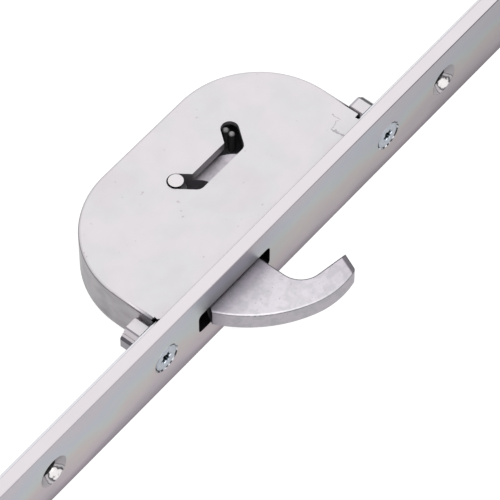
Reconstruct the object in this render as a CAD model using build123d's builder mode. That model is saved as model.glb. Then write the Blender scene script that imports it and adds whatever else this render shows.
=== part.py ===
"""Hook bolt locking point of a multipoint door lock.

Millimetres. +X runs along the faceplate (up the door edge), +Y into the door and +Z across the
faceplate. The origin is the middle of the faceplate's front face, midway between the two case
screws. The part is drawn locked: the hook is swung out through the faceplate.
"""
from build123d import *
from math import asin, atan2, cos, degrees, hypot, radians, sin, tau
import os

os.makedirs("parts", exist_ok=True)

# Faceplate
faceplate_length = 220.0
faceplate_width = 20.0
faceplate_thickness = 3.2
faceplate_edge_radius = 0.25
fixing_hole_radius = 2.25
fixing_sink_radius = 4.0
fixing_low_offset = 36.8
fixing_high_offset = 20.4
cutter_overrun = 1.0

# Drive rail
rail_width = 10.0
rail_thickness = 2.5
rail_standoff = 0.2
rail_tail = 12.0
rail_travel = 18.65
rail_edge_radius = 0.25
rail_side_gap = 0.2
rail_rear_gap = 0.3
coupling_hole_radius = 2.5
coupling_hole_inset = 6.0
fixing_slot_radius = 2.6

# Die-cast case
case_width = 72.0
case_depth = 36.05
case_corner_radius = 22.5
case_top = 6.0
case_wall = 1.8
case_top_wall = 2.4
case_edge_radius = 0.7
case_front_chamfer = 2.2
screw_overhang = 2.5
boss_radius = 3.85
boss_rise = 0.8
boss_sides = 8
boss_length = 3.8
boss_groove = 0.35
nose_radius = 2.9
nose_side_gap = 0.4
rivet_post_radius = 2.2
rivet_post_front_y = 12.5
rivet_post_front_inset = 3.8
rivet_post_corner_angle = 40.0
rivet_post_corner_inset = 3.0

# Cam track in the case and the pin that runs in it
track_middle_x = 4.75
track_end_y = 25.75
track_floor_y = 22.1
track_floor_length = 13.1
track_width = 4.2
track_relief_radius = 4.2
track_relief_height = 1.2
pin_radius = 1.1
pin_head_radius = 1.75
pin_head_height = 0.25
pin_head_gap = 0.05
pin_dip = 4.25
pin_end_gap = 0.3
clip_radius = 2.5
clip_thickness = 0.5
clip_gap = 0.3

# Hook bolt
hook_thickness = 5.0
hook_pivot_y = 13.0
hook_radius = 32.4
hook_root_angle = -154.3
hook_end_angle = -114.0
hook_end_radius = 20.0
hook_end_sweep = 36.5
hook_hub_radius = 4.8
hook_sector_radius = 12.6
hook_sector_start = 50.0
hook_sector_rise = 1.5
hook_throat_radius = 5.6
hook_nose_radius = 1.2
hook_shank_radius = 2.5
hook_edge_radius = 0.5
hook_side_gap = 0.6
fork_reach = 16.2
fork_gap_radius = 3.15
fork_prong_width = 2.6
fork_tip_radius = 1.4
hook_slot_low_gap = 2.8
hook_slot_high_gap = 3.3

# Pivot, bush and washers
pivot_radius = 2.5
pivot_stem_radius = 1.8
pivot_socket_depth = 1.2
pivot_head_radius = 2.9
pivot_head_height = 0.7
bush_wall = 0.8
running_gap = 0.05
washer_radius = 4.5
washer_gap = 0.1
lower_washer_height = 0.4

# Drive slider
slider_thickness = 1.5
slider_top_gap = 0.7
slider_slot_gap = 0.3
slider_border = 3.0
slider_fork_gap = 0.56
slider_fork_wall = 2.4
slider_fork_margin = 0.1
slider_flange_low_x = -2.0
slider_flange_length = 13.0
slider_flange_top_gap = 0.3
slider_corner_radius = 1.2
rail_rivet_radius = 1.5
rail_rivet_head_radius = 2.3
rail_rivet_head_height = 0.5
rail_rivet_inset = 2.5

# Cover plate and its rivets
cover_thickness = 1.0
cover_inset = 1.5
cover_front_gap = 0.5
cover_rivet_radius = 1.2
cover_rivet_head_radius = 2.0
cover_rivet_head_height = 0.7
cover_rivet_depth = 4.0
press_gap = 0.02

# Two bevelled stop pins beyond the upper end of the track
stop_pin_radius = 0.75
stop_pin_x = 16.2
stop_pin_y = 27.85
stop_pin_pitch = 1.75
stop_pin_top = 1.2

# Countersunk case screws with a six-lobe recess
screw_radius = 1.95
screw_head_radius = 3.65
screw_sink_radius = 3.75
screw_hole_radius = 2.2
screw_length = 8.0
screw_sink = 0.1
screw_bore_radius = 2.0
screw_bore_margin = 0.6
lobe_circle_radius = 1.25
lobe_radius = 0.55
lobe_count = 6
lobe_depth = 1.5

# Places that follow from the sizes above
rail_front = faceplate_thickness + rail_standoff
rail_rear = rail_front + rail_thickness
channel_rear = rail_rear + rail_rear_gap
channel_half = rail_width / 2 + rail_side_gap
case_back = faceplate_thickness + case_depth
case_ceiling = case_top - case_top_wall
case_rim = -channel_half
cover_bottom = case_rim - cover_thickness
screw_x = case_width / 2 + screw_overhang
screw_places = [(-screw_x, 0), (screw_x, 0)]
boss_places = [(-screw_x, boss_rise), (screw_x, boss_rise)]
fixing_low_x = -screw_x - fixing_low_offset
fixing_high_x = screw_x + fixing_high_offset
slot_half = nose_radius + nose_side_gap
corner_centre = (case_width / 2 - case_corner_radius, case_back - case_corner_radius)
hook_slot_half = hook_thickness / 2 + hook_side_gap
slider_top = -hook_thickness / 2 - slider_top_gap
slider_bottom = slider_top - slider_thickness

# The pin enters the track at its low end and leaves it at its high end
track_low_x = track_middle_x - rail_travel / 2
track_high_x = track_middle_x + rail_travel / 2
track_points = [
    (track_low_x, track_end_y),
    (track_middle_x - track_floor_length / 2, track_floor_y),
    (track_middle_x + track_floor_length / 2, track_floor_y),
    (track_high_x, track_end_y),
]
fork_angle = degrees(atan2(track_end_y - hook_pivot_y, track_low_x - track_middle_x))
hook_swing = 2 * (fork_angle - 90)
pin_arc_radius = ((rail_travel / 2) ** 2 + pin_dip**2) / (2 * pin_dip)
pin_arc_centre_y = track_end_y - pin_dip + pin_arc_radius
pin_arc_swing = 2 * degrees(asin(rail_travel / 2 / pin_arc_radius))
print(f"hook pivot ({track_middle_x:.3f}, {hook_pivot_y:.3f}) swing {hook_swing:.3f} deg")
print(f"pin arc centre ({track_middle_x:.3f}, {pin_arc_centre_y:.3f}) swing {pin_arc_swing:.3f} deg")


def save(piece, label):
    """Name a finished piece and write it as its own STEP file."""
    piece.part.label = label
    export_step(piece.part, f"parts/{label}.step")


def around_pivot(radius, angle):
    """A point at a radius and an angle in degrees about the hook's pivot."""
    return (
        track_middle_x + radius * cos(radians(angle)),
        hook_pivot_y + radius * sin(radians(angle)),
    )


def case_outline(inset, front):
    """The case's D-shaped plan, drawn in from its walls by inset and open to front."""
    Polyline(
        (-case_width / 2 + inset, front),
        (-case_width / 2 + inset, case_back - inset),
        (case_width / 2 - inset, case_back - inset),
        (case_width / 2 - inset, front),
        close=True,
    )


def round_back(sketch, inset):
    """Round the two rear corners of a case outline."""
    fillet(sketch.vertices().group_by(Axis.Y)[-1], case_corner_radius - inset)


# The posts for the cover rivets stand on the inside of the case wall
post_corner_reach = case_corner_radius - rivet_post_corner_inset
post_corner_x = corner_centre[0] + post_corner_reach * cos(radians(rivet_post_corner_angle))
post_corner_y = corner_centre[1] + post_corner_reach * sin(radians(rivet_post_corner_angle))
post_front_x = case_width / 2 - rivet_post_front_inset
post_places = [
    (-post_front_x, rivet_post_front_y),
    (post_front_x, rivet_post_front_y),
    (-post_corner_x, post_corner_y),
    (post_corner_x, post_corner_y),
]

# Where the hook passes the faceplate when it is locked
hook_root_low_x = track_middle_x - (hook_radius**2 - hook_pivot_y**2) ** 0.5
hook_points_share = [
    (0.033, -0.822),
    (-0.3565, -0.757),
    (-0.3565, -0.216),
    (-0.1315, -0.092),
    (-0.208, 0.170),
    (-0.471, 0.062),
    (-0.779, -0.2315),
]
hook_points = [
    (track_middle_x + share_x * hook_radius, hook_pivot_y + share_y * hook_radius)
    for share_x, share_y in hook_points_share
]
hook_throat, hook_elbow = hook_points[1], hook_points[-1]
hook_root_high_x = hook_throat[0]
hook_slot_low_x = hook_root_low_x - hook_slot_low_gap
hook_slot_high_x = hook_root_high_x + hook_slot_high_gap


# Faceplate: flat strip with the hook slot, two case screw holes and two fixing holes
with BuildPart() as faceplate:
    with BuildSketch(Plane.XZ):
        Rectangle(faceplate_length, faceplate_width)
    extrude(amount=-faceplate_thickness)
    fillet(faceplate.edges().filter_by(Axis.X), faceplate_edge_radius)
    with BuildSketch(Plane.XZ.offset(cutter_overrun)):
        with Locations(((hook_slot_low_x + hook_slot_high_x) / 2, 0)):
            SlotOverall(hook_slot_high_x - hook_slot_low_x, 2 * hook_slot_half)
    extrude(amount=-faceplate_thickness - 2 * cutter_overrun, mode=Mode.SUBTRACT)
    with Locations(Plane.XZ):
        with Locations(*screw_places):
            CounterSinkHole(screw_hole_radius, screw_sink_radius, counter_sink_angle=90)
        with Locations((fixing_low_x, 0), (fixing_high_x, 0)):
            CounterSinkHole(fixing_hole_radius, fixing_sink_radius, counter_sink_angle=90)
save(faceplate, "faceplate")


# Drive rail: windows let the case noses, the fixing screws and the hook through at every position
rail_low_x = -faceplate_length / 2 - rail_tail
rail_high_x = faceplate_length / 2 - rail_travel
rail_windows = [
    (fixing_low_x - rail_travel - fixing_slot_radius, fixing_low_x + fixing_slot_radius, fixing_slot_radius),
    (-screw_x - rail_travel - slot_half, hook_slot_high_x - hook_side_gap, slot_half),
    (screw_x - rail_travel - slot_half, fixing_high_x + slot_half, slot_half),
]

with BuildPart() as drive_rail:
    with BuildSketch(Plane.XZ.offset(-rail_front)):
        with Locations(((rail_low_x + rail_high_x) / 2, 0)):
            Rectangle(rail_high_x - rail_low_x, rail_width)
        for low_x, high_x, half in rail_windows:
            with Locations(((low_x + high_x) / 2, 0)):
                SlotOverall(high_x - low_x, 2 * half, mode=Mode.SUBTRACT)
        rivet_places = [
            (slider_flange_low_x + rail_rivet_inset, 0),
            (slider_flange_low_x + slider_flange_length - rail_rivet_inset, 0),
        ]
        with Locations(*rivet_places):
            Circle(rail_rivet_radius + press_gap, mode=Mode.SUBTRACT)
        with Locations((rail_low_x + coupling_hole_inset, 0)):
            Circle(coupling_hole_radius, mode=Mode.SUBTRACT)
    extrude(amount=-rail_thickness)
    long_edges = drive_rail.edges().filter_by(Axis.X).group_by(Axis.Z)
    fillet(long_edges[0] + long_edges[-1], rail_edge_radius)
save(drive_rail, "drive_rail")


# Die-cast case: D-shaped shell, open to the faceplate and underneath, with two screw bosses
with BuildPart() as case_body:
    with BuildSketch(Plane.XY.offset(case_rim)) as case_plan:
        with BuildLine():
            case_outline(0, faceplate_thickness)
        make_face()
        round_back(case_plan, 0)
        chamfer(case_plan.vertices().group_by(Axis.Y)[0], case_front_chamfer)
    extrude(amount=case_top - case_rim)
    fillet(case_body.faces().sort_by(Axis.Z)[-1].edges().group_by(Axis.Y)[1:], case_edge_radius)
    with BuildSketch(Plane.XY.offset(case_rim)) as case_hollow:
        with BuildLine():
            case_outline(case_wall, faceplate_thickness - cutter_overrun)
        make_face()
        round_back(case_hollow, case_wall)
    extrude(amount=case_ceiling - case_rim, mode=Mode.SUBTRACT)
    with BuildSketch(Plane.XY.offset(case_rim)):
        with Locations(*post_places):
            Circle(rivet_post_radius)
    extrude(amount=case_ceiling - case_rim)
    with BuildSketch(Plane.XZ.offset(-channel_rear)):
        with Locations(*boss_places):
            RegularPolygon(boss_radius, boss_sides, rotation=180 / boss_sides)
    extrude(amount=-boss_length)
    with BuildSketch(Plane.XZ.offset(-faceplate_thickness + cutter_overrun)):
        Rectangle(case_width + 2 * boss_radius, 2 * channel_half)
    extrude(amount=-(channel_rear - faceplate_thickness + cutter_overrun), mode=Mode.SUBTRACT)
    with BuildSketch(Plane.XZ.offset(-faceplate_thickness)):
        with Locations(*screw_places):
            Circle(nose_radius)
    extrude(amount=-(channel_rear - faceplate_thickness))
    with BuildSketch(Plane.XZ.offset(-faceplate_thickness)):
        with Locations(*screw_places):
            Circle(screw_bore_radius)
    extrude(amount=-(screw_length + screw_bore_margin - faceplate_thickness), mode=Mode.SUBTRACT)
    groove_reach = boss_radius * cos(tau / 2 / boss_sides)
    groove_x = screw_x + groove_reach * cos(tau / boss_sides)
    groove_z = boss_rise + groove_reach * sin(tau / boss_sides)
    with BuildSketch(Plane.XZ.offset(-channel_rear)):
        with Locations((-groove_x, groove_z), (groove_x, groove_z)):
            Rectangle(boss_groove, boss_groove, rotation=360 / boss_sides)
    extrude(amount=-boss_length, mode=Mode.SUBTRACT)
    with BuildSketch(Plane.XY.offset(case_ceiling - cutter_overrun)) as track:
        for (x1, y1), (x2, y2) in zip(track_points, track_points[1:]):
            with Locations(((x1 + x2) / 2, (y1 + y2) / 2)):
                turn = degrees(atan2(y2 - y1, x2 - x1))
                SlotCenterToCenter(hypot(x2 - x1, y2 - y1), track_width, rotation=turn)
    extrude(amount=case_top_wall + 2 * cutter_overrun, mode=Mode.SUBTRACT)
    with BuildSketch(Plane.XY.offset(case_ceiling)):
        with Locations(track_points[-1]):
            Circle(track_relief_radius)
    extrude(amount=track_relief_height, mode=Mode.SUBTRACT)
    with BuildSketch(Plane.XY.offset(case_ceiling)):
        with Locations((track_middle_x, hook_pivot_y)):
            Circle(pivot_radius + press_gap)
    extrude(amount=pivot_socket_depth, mode=Mode.SUBTRACT)
    with BuildSketch(Plane.XY.offset(case_rim)):
        with Locations(*post_places):
            Circle(cover_rivet_radius + press_gap)
    extrude(amount=cover_rivet_depth, mode=Mode.SUBTRACT)
save(case_body, "case_body")


# Cover plate: closes the case from below and holds the pivot, the rivets and the stop pins
stop_pin_places = [
    (stop_pin_x, stop_pin_y - stop_pin_pitch / 2),
    (stop_pin_x, stop_pin_y + stop_pin_pitch / 2),
]
with BuildPart() as case_cover:
    with BuildSketch(Plane.XY.offset(cover_bottom)) as cover_plan:
        with BuildLine():
            case_outline(cover_inset, faceplate_thickness + cover_front_gap)
        make_face()
        round_back(cover_plan, cover_inset)
        with Locations((track_middle_x, hook_pivot_y)):
            Circle(pivot_stem_radius + press_gap, mode=Mode.SUBTRACT)
        with Locations(*post_places):
            Circle(cover_rivet_radius + press_gap, mode=Mode.SUBTRACT)
        with Locations(*stop_pin_places):
            Circle(stop_pin_radius + press_gap, mode=Mode.SUBTRACT)
    extrude(amount=cover_thickness)
save(case_cover, "case_cover")


# Hook bolt: cast hook, round hub, cam sector and the fork that the guide pin turns
with BuildPart() as hook_bolt:
    with BuildSketch(Plane.XY.offset(-hook_thickness / 2)) as hook_plan:
        with BuildLine():
            sweep = hook_end_angle - hook_root_angle
            outer_arc = CenterArc(around_pivot(0, 0), hook_radius, hook_root_angle, sweep)
            end_centre = around_pivot(hook_radius - hook_end_radius, hook_end_angle)
            end_arc = CenterArc(end_centre, hook_end_radius, hook_end_angle, hook_end_sweep)
            Polyline(end_arc @ 1, *hook_points, outer_arc @ 0)
        make_face()
        fillet(hook_plan.vertices().sort_by_distance(hook_throat)[0], hook_throat_radius)
        fillet(hook_plan.vertices().sort_by_distance(hook_elbow)[0], hook_shank_radius)
        fillet(hook_plan.vertices().sort_by_distance(end_arc @ 1)[0], hook_nose_radius)
        with BuildLine():
            sector_start = around_pivot(hook_sector_radius - hook_sector_rise, hook_sector_start)
            Line(around_pivot(0, 0), sector_start)
            ThreePointArc(
                sector_start,
                around_pivot(hook_sector_radius, (hook_sector_start + fork_angle) / 2),
                around_pivot(hook_sector_radius, fork_angle),
            )
            Line(around_pivot(hook_sector_radius, fork_angle), around_pivot(0, 0))
        make_face()
        with Locations((track_middle_x, hook_pivot_y)):
            Circle(hook_hub_radius)
        prong_half = fork_gap_radius + fork_prong_width
        with Locations(around_pivot(fork_reach / 2, fork_angle)):
            Rectangle(fork_reach, 2 * prong_half, rotation=fork_angle)
        for side in (-1, 1):
            tip_angle = fork_angle + side * degrees(atan2(prong_half, fork_reach))
            tip = around_pivot(hypot(fork_reach, prong_half), tip_angle)
            fillet(hook_plan.vertices().sort_by_distance(tip)[0], fork_tip_radius)
        pin_nearest = pin_arc_centre_y - pin_arc_radius - hook_pivot_y
        gap_start = pin_nearest - pin_radius - pin_end_gap + fork_gap_radius
        gap_end = fork_reach + fork_gap_radius + cutter_overrun
        with Locations(around_pivot((gap_start + gap_end) / 2, fork_angle)):
            gap_width = 2 * fork_gap_radius
            SlotCenterToCenter(gap_end - gap_start, gap_width, rotation=fork_angle, mode=Mode.SUBTRACT)
        with Locations((track_middle_x, hook_pivot_y)):
            Circle(pivot_radius + running_gap + bush_wall, mode=Mode.SUBTRACT)
    extrude(amount=hook_thickness)
    rim = hook_bolt.edges().filter_by(Plane.XY)
    outside = rim.filter_by(lambda edge: edge.center().Y < 0)
    fillet(outside, hook_edge_radius)
save(hook_bolt, "hook_bolt")


def ring(label, outer, inner, bottom, height, place):
    """A flat ring: a washer, a bush or a retaining clip."""
    with BuildPart() as piece:
        with BuildSketch(Plane.XY.offset(bottom)):
            with Locations(place):
                Circle(outer)
                Circle(inner, mode=Mode.SUBTRACT)
        extrude(amount=height)
    save(piece, label)


pivot_place = (track_middle_x, hook_pivot_y)
bush_outer = pivot_radius + running_gap + bush_wall
ring("hook_bush", bush_outer, pivot_radius + running_gap, -hook_thickness / 2, hook_thickness, pivot_place)

upper_washer_bottom = hook_thickness / 2 + washer_gap
upper_washer_height = case_ceiling - washer_gap - upper_washer_bottom
lower_washer_bottom = -hook_thickness / 2 - washer_gap - lower_washer_height
washer_bore = pivot_radius + press_gap
ring("pivot_washer_upper", washer_radius, washer_bore, upper_washer_bottom, upper_washer_height, pivot_place)
ring("pivot_washer_lower", washer_radius, washer_bore, lower_washer_bottom, lower_washer_height, pivot_place)


def turned_pin(label, place, steps):
    """A round pin along Z, given as radius, bottom and top of each of its steps."""
    with BuildPart() as piece:
        for radius, bottom, top in steps:
            with BuildSketch(Plane.XY.offset(bottom)):
                with Locations(place):
                    Circle(radius)
            extrude(amount=top - bottom)
    save(piece, label)


# Hook pivot: blind in the case, stepped, and headed over under the cover
turned_pin(
    "hook_pivot",
    pivot_place,
    [
        (pivot_head_radius, cover_bottom - pivot_head_height, cover_bottom),
        (pivot_stem_radius, cover_bottom, lower_washer_bottom),
        (pivot_radius, lower_washer_bottom, case_ceiling + pivot_socket_depth),
    ],
)

# Guide pin: its head runs on the case, its stem in the track, the hook's fork and the slider
pin_place = track_points[0]
turned_pin(
    "guide_pin",
    pin_place,
    [
        (pin_radius, slider_bottom, case_top + pin_head_gap),
        (pin_head_radius, case_top + pin_head_gap, case_top + pin_head_gap + pin_head_height),
    ],
)
clip_bottom = case_ceiling - clip_gap - clip_thickness
ring("guide_pin_clip", clip_radius, pin_radius + press_gap, clip_bottom, clip_thickness, pin_place)


# Cover rivets: one in each post of the case, with a bevelled head under the cover
for number, (x, y) in enumerate(post_places, start=1):
    with BuildPart() as cover_rivet:
        with BuildSketch(Plane.XY.offset(cover_bottom)):
            with Locations((x, y)):
                Circle(cover_rivet_radius)
        extrude(amount=cover_thickness + cover_rivet_depth - cover_rivet_head_height)
        with BuildSketch(Plane.XY.offset(cover_bottom - cover_rivet_head_height)):
            with Locations((x, y)):
                Circle(cover_rivet_head_radius)
        extrude(amount=cover_rivet_head_height)
        chamfer(cover_rivet.edges().group_by(Axis.Z)[0], cover_rivet_head_height / 2)
    save(cover_rivet, f"cover_rivet_{number}")


# Stop pins: two plain pins with bevelled ends, standing on the cover
for number, (x, y) in enumerate(stop_pin_places, start=1):
    with BuildPart() as stop_pin:
        with BuildSketch(Plane.XY.offset(cover_bottom)):
            with Locations((x, y)):
                Circle(stop_pin_radius)
        extrude(amount=stop_pin_top - cover_bottom)
        chamfer(stop_pin.edges().group_by(Axis.Z)[-1], stop_pin_radius / 3)
    save(stop_pin, f"stop_pin_{number}")


# Drive slider: a plate under the hook, folded up against the rail and forked round the guide pin
slider_low_x = track_middle_x - rail_travel - pivot_stem_radius - slider_slot_gap - slider_border
slider_high_x = slider_flange_low_x + slider_flange_length
slider_shoulder_y = hook_pivot_y + pivot_stem_radius + slider_slot_gap + slider_border
slider_fork_half = pin_radius + slider_fork_gap
slider_fork_top = track_end_y + slider_fork_margin
with BuildPart() as drive_slider:
    with BuildSketch(Plane.XY.offset(slider_bottom)) as slider_plan:
        arm_half = slider_fork_half + slider_fork_wall
        with BuildLine():
            Polyline(
                (slider_flange_low_x, rail_rear),
                (slider_high_x, rail_rear),
                (slider_high_x, slider_shoulder_y),
                (track_low_x + arm_half, slider_shoulder_y),
                (track_low_x + arm_half, slider_fork_top),
                (track_low_x - arm_half, slider_fork_top),
                (track_low_x - arm_half, slider_shoulder_y),
                (slider_low_x, slider_shoulder_y),
                (slider_low_x, hook_pivot_y - slider_border),
                (slider_flange_low_x, hook_pivot_y - slider_border - pivot_stem_radius),
                close=True,
            )
        make_face()
        fillet(slider_plan.vertices().filter_by(lambda v: v.Y > channel_rear), slider_corner_radius)
        with Locations((track_middle_x - rail_travel / 2, hook_pivot_y)):
            SlotCenterToCenter(rail_travel, 2 * (pivot_stem_radius + slider_slot_gap), mode=Mode.SUBTRACT)
        fork_bottom = pin_arc_centre_y - pin_arc_radius - pin_radius - pin_end_gap + slider_fork_half
        fork_length = slider_fork_top + arm_half - fork_bottom
        with Locations((track_low_x, fork_bottom + fork_length / 2)):
            SlotCenterToCenter(fork_length, 2 * slider_fork_half, rotation=90, mode=Mode.SUBTRACT)
    extrude(amount=slider_thickness)
    with BuildSketch(Plane.XZ.offset(-rail_rear)):
        flange_top = case_ceiling - slider_flange_top_gap
        with Locations((slider_flange_low_x + slider_flange_length / 2, (flange_top + slider_bottom) / 2)):
            Rectangle(slider_flange_length, flange_top - slider_bottom)
        with Locations(*rivet_places):
            Circle(rail_rivet_radius + press_gap, mode=Mode.SUBTRACT)
    extrude(amount=-slider_thickness)
save(drive_slider, "drive_slider")


# Rail rivets: flush in the rail and headed over behind the slider's flange
for number, (x, z) in enumerate(rivet_places, start=1):
    with BuildPart() as rail_rivet:
        with BuildSketch(Plane.XZ.offset(-rail_front)):
            with Locations((x, z)):
                Circle(rail_rivet_radius)
        extrude(amount=-(rail_thickness + slider_thickness))
        with BuildSketch(Plane.XZ.offset(-rail_rear - slider_thickness)):
            with Locations((x, z)):
                Circle(rail_rivet_head_radius)
        extrude(amount=-rail_rivet_head_height)
    save(rail_rivet, f"rail_rivet_{number}")


# Case screws: countersunk, flush with the faceplate, with a six-lobe recess
sink_depth = screw_head_radius - screw_radius
for label, (x, z) in zip(("case_screw_low", "case_screw_high"), screw_places):
    with BuildPart() as case_screw:
        with BuildSketch(Plane.XZ.offset(-screw_sink)):
            with Locations((x, z)):
                Circle(screw_radius)
        extrude(amount=-(screw_length - screw_sink))
        with BuildSketch(Plane.XZ.offset(-screw_sink)):
            with Locations((x, z)):
                Circle(screw_head_radius)
        extrude(amount=-sink_depth, taper=45)
        with BuildSketch(Plane.XZ.offset(-screw_sink)):
            with Locations((x, z)):
                Circle(lobe_circle_radius)
                with PolarLocations(lobe_circle_radius, lobe_count):
                    Circle(lobe_radius)
        extrude(amount=-lobe_depth, mode=Mode.SUBTRACT)
    save(case_screw, label)
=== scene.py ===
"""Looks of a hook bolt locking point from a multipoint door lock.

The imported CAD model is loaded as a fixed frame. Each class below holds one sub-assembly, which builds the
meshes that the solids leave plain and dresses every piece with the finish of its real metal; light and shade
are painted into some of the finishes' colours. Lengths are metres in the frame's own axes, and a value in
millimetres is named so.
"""

import logging
import math
from dataclasses import dataclass
from enum import Enum

import bmesh
import bpy
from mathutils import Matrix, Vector


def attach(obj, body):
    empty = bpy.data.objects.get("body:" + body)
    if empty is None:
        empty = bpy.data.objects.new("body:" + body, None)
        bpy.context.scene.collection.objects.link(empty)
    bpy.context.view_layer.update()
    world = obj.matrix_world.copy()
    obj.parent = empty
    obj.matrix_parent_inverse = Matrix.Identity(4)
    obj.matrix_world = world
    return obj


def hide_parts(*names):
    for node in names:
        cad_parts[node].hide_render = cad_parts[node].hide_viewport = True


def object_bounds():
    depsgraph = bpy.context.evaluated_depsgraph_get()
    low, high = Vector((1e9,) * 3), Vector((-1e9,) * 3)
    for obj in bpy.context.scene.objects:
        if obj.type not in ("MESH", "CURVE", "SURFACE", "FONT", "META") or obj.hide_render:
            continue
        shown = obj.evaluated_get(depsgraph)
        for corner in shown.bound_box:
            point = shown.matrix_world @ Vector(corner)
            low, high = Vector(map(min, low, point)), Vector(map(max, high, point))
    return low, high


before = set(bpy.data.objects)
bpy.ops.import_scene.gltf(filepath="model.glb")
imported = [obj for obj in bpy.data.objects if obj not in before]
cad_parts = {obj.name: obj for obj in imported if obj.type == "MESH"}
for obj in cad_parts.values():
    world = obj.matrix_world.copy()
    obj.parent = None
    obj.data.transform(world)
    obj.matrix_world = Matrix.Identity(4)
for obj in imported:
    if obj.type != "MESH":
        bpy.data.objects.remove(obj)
CAD_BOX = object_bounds()

MM = 0.001
LOG = logging.getLogger("door_lock")


class Body(Enum):
    """The moving bodies of the lock, by their names in the frame."""

    CASING = "casing"
    DRIVE = "drive"
    HOOK = "hook"
    PIN = "pin"


def linear(hex_colour: str) -> tuple[float, float, float, float]:
    """Turn an sRGB hex colour into linear light.

    Args:
        hex_colour: a colour such as "#B0B0B2".

    Returns:
        Red, green and blue in linear light, and an alpha of one.
    """
    channels = [int(hex_colour[start:start + 2], 16) / 255 for start in (1, 3, 5)]
    light = [c / 12.92 if c <= 0.04045 else ((c + 0.055) / 1.055) ** 2.4 for c in channels]
    return light[0], light[1], light[2], 1.0


def add_node(
    tree: bpy.types.NodeTree,
    kind: str,
    settings: dict[str, object] | None = None,
    inputs: dict[str | int, object] | None = None,
) -> bpy.types.Node:
    """Add a shader node with its settings and links.

    Args:
        tree: the node tree of a material or world.
        kind: the node's type, such as "ShaderNodeTexNoise".
        settings: properties of the node, by name.
        inputs: sockets, by name or index, each with a value or with another node's output to link.

    Returns:
        The new node.
    """
    node = tree.nodes.new(kind)
    for name, value in (settings or {}).items():
        setattr(node, name, value)
    for key, value in (inputs or {}).items():
        if isinstance(value, bpy.types.NodeSocket):
            tree.links.new(value, node.inputs[key])
        else:
            node.inputs[key].default_value = value
    return node


def set_ramp(node: bpy.types.Node, stops: list[tuple[float, str]]) -> None:
    """Give a colour ramp its stops.

    Args:
        node: the Color Ramp node.
        stops: position and sRGB hex colour of each stop, in order.
    """
    elements = node.color_ramp.elements
    while len(elements) < len(stops):
        elements.new(0.5)
    for element, (position, colour) in zip(elements, stops):
        element.position = position
        element.color = linear(colour)


def per_metre(size_mm: float) -> float:
    """The texture scale at which one cell of a pattern is size_mm long."""
    return 1 / (size_mm * MM)


def remap(
    tree: bpy.types.NodeTree, value: bpy.types.NodeSocket, source: tuple[float, float],
    target: tuple[float, float] = (0.0, 1.0),
) -> bpy.types.NodeSocket:
    """Carry a value from one range to another, held at the ends.

    Args:
        tree: the node tree.
        value: the socket with the value.
        source: the two values that give the ends of the target.
        target: what the ends become.

    Returns:
        The socket with the new value.
    """
    node = add_node(
        tree, "ShaderNodeMapRange", None,
        {"Value": value, "From Min": source[0], "From Max": source[1], "To Min": target[0], "To Max": target[1]},
    )
    return node.outputs[0]


def maths(
    tree: bpy.types.NodeTree, operation: str, first: bpy.types.NodeSocket | float,
    second: bpy.types.NodeSocket | float = 0.0,
) -> bpy.types.NodeSocket:
    """One step of arithmetic on sockets or plain numbers."""
    return add_node(tree, "ShaderNodeMath", {"operation": operation}, {0: first, 1: second}).outputs[0]


def blend(
    tree: bpy.types.NodeTree, share: bpy.types.NodeSocket | float, first: object, second: object,
    how: str = "MIX",
) -> bpy.types.NodeSocket:
    """Blend two colours.

    Args:
        tree: the node tree.
        share: how much of the second colour is taken.
        first: the colour or socket underneath.
        second: the colour or socket laid over it.
        how: the way they are blended, such as "MULTIPLY".

    Returns:
        The socket with the blended colour.
    """
    node = add_node(
        tree, "ShaderNodeMix", {"data_type": "RGBA", "blend_type": how}, {"Factor": share, 6: first, 7: second}
    )
    return node.outputs[2]


def noise(
    tree: bpy.types.NodeTree, place: bpy.types.NodeSocket, cell_mm: tuple[float, float, float], detail: float
) -> bpy.types.NodeSocket:
    """A noise whose cells have a real size.

    Args:
        tree: the material's node tree.
        place: the surface's place in the frame.
        cell_mm: size of one cell along X, Y and Z.
        detail: octaves of finer noise.

    Returns:
        The noise's value, from 0 to 1.
    """
    scale = Vector(per_metre(size) for size in cell_mm)
    mapping = add_node(tree, "ShaderNodeMapping", None, {"Vector": place, "Scale": scale})
    made = add_node(
        tree, "ShaderNodeTexNoise", None, {"Vector": mapping.outputs[0], "Scale": 1.0, "Detail": detail}
    )
    return made.outputs[0]


def ramp(
    tree: bpy.types.NodeTree, value: bpy.types.NodeSocket, stops: list[tuple[float, str]]
) -> bpy.types.NodeSocket:
    """Turn a value into a colour that passes through stops of position and sRGB hex colour."""
    node = add_node(tree, "ShaderNodeValToRGB", None, {"Fac": value})
    set_ramp(node, stops)
    return node.outputs[0]


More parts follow.
